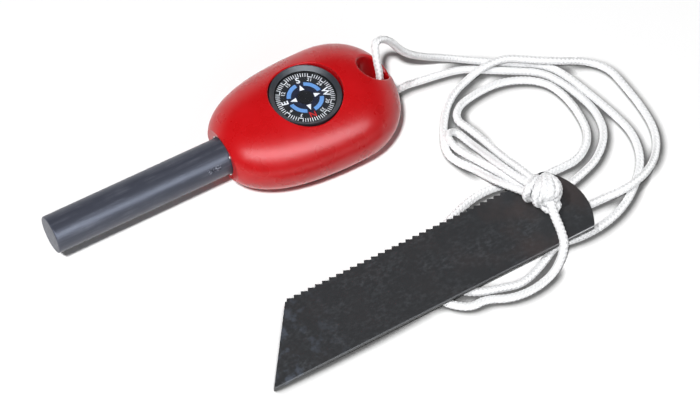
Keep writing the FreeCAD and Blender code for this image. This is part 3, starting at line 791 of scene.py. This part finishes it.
# %% Cord material
white_nylon, tree, shader = new_material("white nylon braid", Roughness=0.62, Sheen_Weight=0.6,
                                         Sheen_Roughness=0.4)
yarn_map = add(tree, "ShaderNodeUVMap", {"uv_map": "UVMap"})
stretch = add(tree, "ShaderNodeMapping", Vector=yarn_map.outputs[0], Scale=(34.0, 1.3, 1.0))
filaments = speckle(tree, stretch.outputs[0], 1.0, 3.0, 0.6)
tint = add(tree, "ShaderNodeValToRGB", Fac=filaments)
for stop, position, colour in zip(tint.color_ramp.elements, (0.25, 0.6),
                                  (srgb(235, 237, 239), srgb(250, 250, 251))):
    stop.position = position
    stop.color = colour
feed(tree, tint.outputs[0], shader.inputs["Base Color"])
ridges = add(tree, "ShaderNodeBump", Strength=0.18, Distance=0.06 * MM, Height=filaments)
feed(tree, ridges.outputs[0], shader.inputs["Normal"])
print("made", white_nylon.name)

# %% [markdown]
# ## The four stretches
# Each is grown from its smooth line, rides with what carries it, and takes the place of the plain tube
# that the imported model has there. The long and the short stretch leave through the handle's hole.

# %% Braid the stretches
STRETCHES = {
    "long_cord": (LONG_STRAND, "lanyard_strand_long", 1.0),
    "short_cord": (SHORT_STRAND, "lanyard_strand_short", 1.0),
    "striker_loop_cord": (LOOP_STRAND, "lanyard_striker_loop", 1.3),
    "bight_cord": (BIGHT_STRAND, "lanyard_bight", 1.1),
}
cords = {}
for name, (route, node, start_spread) in STRETCHES.items():
    mesh, path = smooth_line(name, route)
    piece = grow(name, mesh, braid, Spread=1.12, Start_Spread=start_spread, Height_Share=0.98,
                 Material=white_nylon)
    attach(piece, "fire_starter")
    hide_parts(node)
    cords[name] = (piece, path)
    print("%s: %.0f mm, %d faces" % (name, line_length(path) * 1000, len(piece.data.polygons)))

# %% [markdown]
# ## The knot
# The knot sits on the striker over its hole. Two wraps cross the bundle of cords, the end is coiled three
# high beside them with two folds over its top, and a collar turns round under the loop that leaves it. A
# stock knot from a library would not lie like this one, so each turn is a line of its own, closed where the
# cord goes under, and is braided like the rest.

# %% Turns of the knot: whether each is closed, and its control points in millimetres
KNOT_TURNS = {
    "first wrap": (True, [
        (44.5, -43.7, 8.2), (42.6, -44.7, 10.6), (40.3, -46.2, 11.7), (38.5, -47.3, 11.4),
        (38.3, -47.4, 9.2), (39.3, -47.5, 7.0), (41.3, -46.9, 6.4), (43.9, -45.5, 6.4),
        (45.3, -44.2, 6.8),
    ]),
    "second wrap": (True, [
        (47.3, -44.6, 8.2), (45.1, -45.5, 11.0), (42.3, -47.3, 12.3), (40.1, -48.9, 12.2),
        (39.4, -50.0, 10.2), (40.3, -50.3, 7.6), (42.1, -49.8, 6.4), (44.6, -48.4, 6.4),
        (47.2, -46.4, 6.4), (48.2, -44.8, 6.9),
    ]),
    "coil": (False, [
        (44.2, -46.9, 10.2), (44.7, -46.9, 12.2), (45.7, -48.3, 12.7), (45.7, -50.5, 12.3),
        (44.4, -51.8, 11.6), (42.7, -51.6, 11.3), (41.3, -50.8, 11.2), (41.1, -50.2, 9.4),
        (41.9, -51.6, 8.6), (43.9, -52.3, 8.9), (46.4, -50.9, 9.2), (47.6, -48.5, 9.4),
        (47.2, -45.8, 9.4), (46.0, -45.2, 8.0), (44.7, -47.0, 6.7), (43.3, -49.6, 6.5),
        (44.2, -51.1, 6.4), (46.2, -50.3, 6.6), (47.3, -48.1, 7.6), (46.0, -46.8, 9.2),
    ]),
    "first fold": (False, [
        (44.1, -45.9, 10.4), (44.2, -46.3, 12.2), (42.7, -48.7, 13.2), (41.5, -50.5, 12.8),
        (41.1, -51.0, 10.8), (41.6, -50.5, 8.2),
    ]),
    "second fold": (False, [
        (45.0, -46.1, 10.4), (45.1, -46.8, 12.4), (44.0, -49.3, 13.7), (43.3, -51.1, 13.2),
        (42.6, -51.8, 11.6), (42.8, -51.2, 8.6),
    ]),
    "collar": (True, [
        (42.7, -50.1, 8.0), (41.8, -50.6, 6.9), (41.9, -52.3, 6.5), (43.7, -53.4, 6.5),
        (45.3, -52.8, 6.9), (44.7, -51.3, 8.0),
    ]),
}


# %% Braid the turns and join them
def joined(name, pieces):
    """Several mesh objects made one."""
    with bpy.context.temp_override(active_object=pieces[0], selected_editable_objects=pieces):
        bpy.ops.object.join()
    pieces[0].name = name
    pieces[0].data.name = name
    return pieces[0]


knot_turns = []
for name, (closed, route) in KNOT_TURNS.items():
    mesh, _ = smooth_line(name, route, cyclic=closed)
    knot_turns.append(grow(name, mesh, braid, Cord_Radius=1.12 * MM, Spread=1.0, Material=white_nylon))
knot = joined("lanyard_knot_turns", knot_turns)
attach(knot, "fire_starter")
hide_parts("lanyard_knot")
print("the knot has", len(knot.data.polygons), "faces")

# %% [markdown]
# ## What the cord is
# A stranger who moves the model needs to know that these tubes are one limp cord: where each stretch leaves
# the hard parts, how long and how thick it is, and what its far end meets. The list below gives where each
# stretch leaves and what its far end meets, but the loop only looks each stretch up.

HOLE = Vector((20.3, 0, 11.5)) * MM
KNOT = Vector((43.9, -49.8, 8.8)) * MM
for name, leaves, end in (("long_cord", HOLE, "knot"), ("short_cord", HOLE, "object"),
                          ("striker_loop_cord", KNOT, "object"), ("bight_cord", KNOT, "object")):
    piece, path = cords[name]
print("declared", len(cords), "stretches of cord")

# %% [markdown]
# ## The dial's print
# The card is printed in white with a tick every five degrees, a small bracket at each number, the numbers
# in tens of degrees and the cardinal letters, with north in red. A blue ring and four arrowheads fill the
# middle. An image texture would be quick, but it blurs up close, so each mark is a plate two hundredths of
# a millimetre high. One small node tree sets what repeats round the dial, and can leave out every so many.

# %% Sizes of the dial in millimetres, and its inks
DIAL_NORTH = math.radians(-99.8)
CARD_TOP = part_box("compass_card")[1].z
PRINT_LOW, PRINT_HIGH = CARD_TOP - 0.01 * MM, CARD_TOP + 0.02 * MM
TICK_FROM, TICK_TO, TICK_WIDTH = 6.55, 7.68, 0.17
BRACKET_TO = TICK_FROM + 0.22
ARROW_FROM, ARROW_TO, ARROW_HALF_WIDTH = 2.4, 4.1, 0.65
RING_FROM, RING_TO, RING_HALF_ANGLE = 3.72, 4.8, 31.5
NUMBER_RADIUS, NUMBER_HEIGHT = 5.78, 0.98
LETTER_RADIUS, LETTER_HEIGHT, LETTER_WEIGHT = 5.6, 1.8, 0.02

white_ink = plastic("white ink", srgb(226, 229, 234), srgb(245, 247, 250), 0.5, 0.15, 0.1)
blue_ink = plastic("blue ink", srgb(92, 140, 200), srgb(106, 154, 212), 0.5, 0.15, 0.1)
red_ink = plastic("red ink", srgb(176, 22, 24), srgb(192, 36, 36), 0.5, 0.15, 0.1)
print("the print lies %.2f mm up" % (CARD_TOP / MM))


# %% Plates and their outlines
def to_mesh(name, shape):
    """A mesh from a bmesh, which is freed."""
    mesh = bpy.data.meshes.new(name)
    shape.to_mesh(mesh)
    shape.free()
    return mesh


def plate(name, outline):
    """A thin plate from an outline in millimetres, drawn as if its bearing lay along X."""
    shape = bmesh.new()
    low = [shape.verts.new((x * MM, y * MM, PRINT_LOW)) for x, y in outline]
    high = [shape.verts.new((x * MM, y * MM, PRINT_HIGH)) for x, y in outline]
    shape.faces.new(high)
    shape.faces.new(low[::-1])
    for k in range(len(outline)):
        j = (k + 1) % len(outline)
        shape.faces.new((low[k], low[j], high[j], high[k]))
    return to_mesh(name, shape)


def bar(low, high, width):
    """Outline of a bar between two radii."""
    return [(low, -width / 2), (high, -width / 2), (high, width / 2), (low, width / 2)]


def arc(radius, half_angle):
    """Points on an arc across X, from its right end to its left, with the angle in degrees."""
    angles = [math.radians(half_angle * k / 10) for k in range(-10, 11)]
    return [(radius * math.cos(a), radius * math.sin(a)) for a in angles]


# %% The tree that sets a plate round the dial
round_dial, g, group_out = new_tree("Round the dial", [
    ("Count", "Int", 72), ("Leave Out Every", "Int", 0), ("First Angle", "Float", 0.0),
    ("Material", "Material", None),
])
spots = add(round_dial, "GeometryNodeMeshLine", Count=g["Count"], Offset=(0.0, 0.0, 0.0))
number = add(round_dial, "GeometryNodeInputIndex").outputs[0]
rest = sums(round_dial, "MODULO", number, sums(round_dial, "MAXIMUM", g["Leave Out Every"], 1.0))
kept = sums(round_dial, "MAXIMUM", sums(round_dial, "GREATER_THAN", rest, 0.5),
            sums(round_dial, "LESS_THAN", g["Leave Out Every"], 0.5))
clockwise = product(round_dial, number, sums(round_dial, "DIVIDE", -math.tau, g["Count"]))
bearing = sums(round_dial, "ADD", g["First Angle"], clockwise)
turned_to = add(round_dial, "ShaderNodeCombineXYZ", Z=bearing).outputs[0]
placed = add(round_dial, "GeometryNodeInstanceOnPoints", Points=spots.outputs[0], Selection=kept,
             Instance=g["Geometry"], Rotation=turned_to)
finish_tree(round_dial, placed.outputs[0], g["Material"], group_out)

# %% Ticks, brackets, arrowheads and ring
EIGHTH = math.radians(45)
tick = bar(TICK_FROM, TICK_TO, TICK_WIDTH)
bracket = bar(TICK_FROM, BRACKET_TO, 2 * TICK_FROM * math.sin(math.radians(5)) + TICK_WIDTH)
arrowhead = [(ARROW_FROM, -ARROW_HALF_WIDTH), (ARROW_TO, 0.0), (ARROW_FROM, ARROW_HALF_WIDTH)]
ring_part = arc(RING_TO, RING_HALF_ANGLE) + arc(RING_FROM, RING_HALF_ANGLE)[::-1]
white_marks = []
for name, outline, count, leave_out in (("ticks", tick, 72, 6), ("cardinal ticks", tick, 4, 0),
                                        ("brackets", bracket, 12, 3), ("arrowheads", arrowhead, 4, 0)):
    white_marks.append(grow(name, plate(name, outline), round_dial, Count=count, Leave_Out_Every=leave_out,
                            First_Angle=DIAL_NORTH, Material=white_ink))
blue_ring = grow("dial_blue_ring", plate("arc", ring_part), round_dial, Count=4, Leave_Out_Every=0,
                 First_Angle=DIAL_NORTH - EIGHTH, Material=blue_ink)
print("the blue ring has", len(blue_ring.data.polygons), "faces")


# %% [markdown]
# ## Numbers and letters
# Blender's own font is close to the dial's plain one. A text is turned into a mesh, sized by its measured
# height, set with its top outwards at its bearing, and its back and front are laid on the print's two
# heights. Its doubled points are merged, so that it is one closed skin.

# %% A printed text
MERGE_WITHIN = 0.002 * MM


def text_mesh(text, weight):
    """Text as a mesh at the font's own size, with its lines thickened by a weight."""
    curve = bpy.data.curves.new("print", "FONT")
    curve.body = text
    curve.extrude = 0.1
    curve.offset = weight
    curve.resolution_u = 3
    return mesh_of(curve)


def close_skin(mesh):
    """Merges a mesh's doubled points and turns its faces outwards."""
    shape = bmesh.new()
    shape.from_mesh(mesh)
    bmesh.ops.remove_doubles(shape, verts=shape.verts, dist=MERGE_WITHIN)
    bmesh.ops.recalc_face_normals(shape, faces=shape.faces)
    shape.to_mesh(mesh)
    shape.free()


def printed(text, bearing, radius, height, ink, weight=0.0):
    """Text on the dial, with its top outwards, as a thin closed mesh."""
    mesh = text_mesh(text, weight)
    across = [vertex.co.x for vertex in mesh.vertices]
    upright = [vertex.co.y for vertex in mesh.vertices]
    middle = Vector(((min(across) + max(across)) / 2, (min(upright) + max(upright)) / 2, 0))
    scale = height * MM / (max(upright) - min(upright))
    outwards = DIAL_NORTH - math.radians(bearing)
    turn = Matrix.Rotation(outwards - math.pi / 2, 4, "Z")
    centre = Vector((math.cos(outwards), math.sin(outwards), 0)) * radius * MM
    for vertex in mesh.vertices:
        level = PRINT_HIGH if vertex.co.z > 0 else PRINT_LOW
        vertex.co = turn @ ((vertex.co - middle) * scale) + centre
        vertex.co.z = level
    close_skin(mesh)
    mesh.materials.clear()
    mesh.materials.append(ink)
    return linked("print " + text, mesh)


# %% Print the dial
for tens in (3, 6, 12, 15, 21, 24, 30, 33):
    white_marks.append(printed(str(tens), tens * 10, NUMBER_RADIUS, NUMBER_HEIGHT, white_ink))
for letter, bearing in (("E", 90), ("S", 180), ("W", 270)):
    white_marks.append(printed(letter, bearing, LETTER_RADIUS, LETTER_HEIGHT, white_ink, LETTER_WEIGHT))
north = printed("N", 0, LETTER_RADIUS, LETTER_HEIGHT, red_ink, LETTER_WEIGHT)
north.name = "dial_red_north"
white_print = joined("dial_white_print", white_marks)
for mark in (white_print, blue_ring, north):
    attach(mark, "compass_card")
    print(mark.name, "has", len(mark.data.polygons), "faces")

# %% [markdown]
# ## Glue at the handle's mouth
# The rod is glued into the handle, and a little glue has been squeezed out in three places round it. Drops
# that wet two surfaces are flattened, with an uneven edge, so each is a ball with its points moved by noise
# and pressed along the mouth.

# %% Squeezed drops
MOUTH_PLACE = Vector((-24.3, 5.25, 0))
DROP_HALF_SIZES = (0.22, 0.16, 0.42)
LUMPINESS, LUMPS = 0.22, 1.7
DROPS = [(34, 1.0, 0.0), (134, 0.8, 3.0), (214, 1.2, 6.0)]


def drop(angle, size, shift):
    """A drop of glue on the rim round the rod, at an angle from the horizontal, with its noise shifted."""
    shape = bmesh.new()
    bmesh.ops.create_icosphere(shape, subdivisions=3, radius=1.0)
    round_rod = Matrix.Rotation(math.radians(angle), 4, "X")
    for vertex in shape.verts:
        lumpy = vertex.co * (1 + LUMPINESS * noise.noise(vertex.co * LUMPS + Vector((shift, 0, 0))))
        flat = Vector([c * half for c, half in zip(lumpy, DROP_HALF_SIZES)]) * size
        vertex.co = round_rod @ (flat + MOUTH_PLACE) * MM + Vector((0, 0, ROD_AXIS_Z))
    mesh = to_mesh("drop", shape)
    mesh.materials.append(white_glue)
    mesh.polygons.foreach_set("use_smooth", [True] * len(mesh.polygons))
    return linked("drop", mesh)


glue_drops = joined("glue_drops", [drop(*values) for values in DROPS])
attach(glue_drops, "fire_starter")
print("glue drops:", len(glue_drops.data.polygons), "faces")
